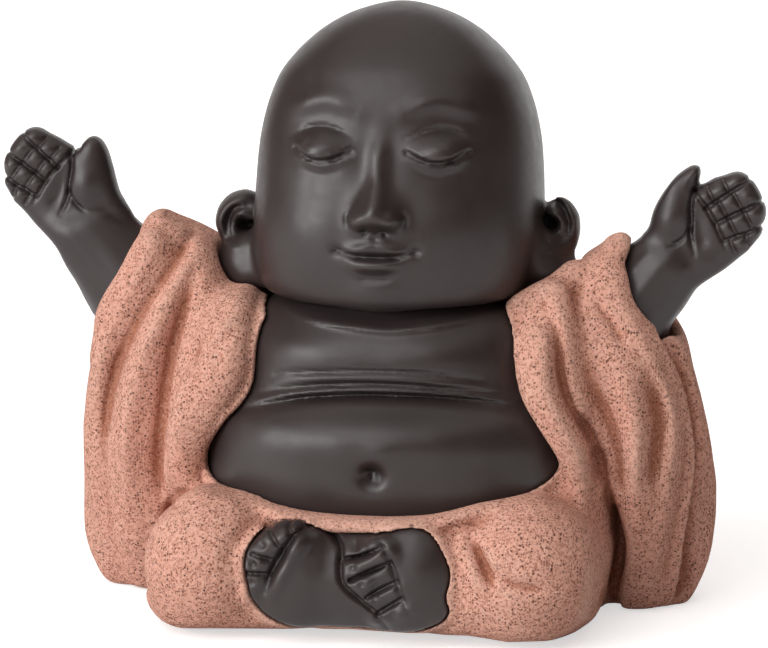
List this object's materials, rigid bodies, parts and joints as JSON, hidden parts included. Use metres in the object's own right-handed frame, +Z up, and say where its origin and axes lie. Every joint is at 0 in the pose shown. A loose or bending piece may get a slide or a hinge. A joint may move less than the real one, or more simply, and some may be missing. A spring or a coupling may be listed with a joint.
{
  "type": "seated monk figurine",
  "caption": "Small stoneware ornament of a stout monk sitting cross-legged with raised open hands, in a sandy robe, for a shelf or tea tray.",
  "frame": {"origin": "middle of the bounding box in plan, at the table the figure rests on", "axes": "+Z up, the figure faces -Y, +X to the figure's own left"},
  "size_m": [0.1072, 0.059, 0.0833],
  "materials": {
    "dark_clay": "satin unglazed",
    "robe_clay": "coarse sand-tempered, matte",
    "bare_clay": "matte unglazed"
  },
  "bodies": {
    "root": {"head_shell": "dark_clay", "left_ear": "dark_clay", "right_ear": "dark_clay", "torso_shell": "dark_clay", "left_arm": "dark_clay", "right_arm": "dark_clay", "left_foot": "dark_clay", "right_foot": "dark_clay", "left_lapel": "robe_clay", "right_lapel": "robe_clay", "left_trouser_leg": "robe_clay", "right_trouser_leg": "robe_clay", "lap_fold": "robe_clay", "left_sleeve": "robe_clay", "right_sleeve": "robe_clay", "mantle_back": "robe_clay", "base_disc": "bare_clay"}
  },
  "joints": []
}
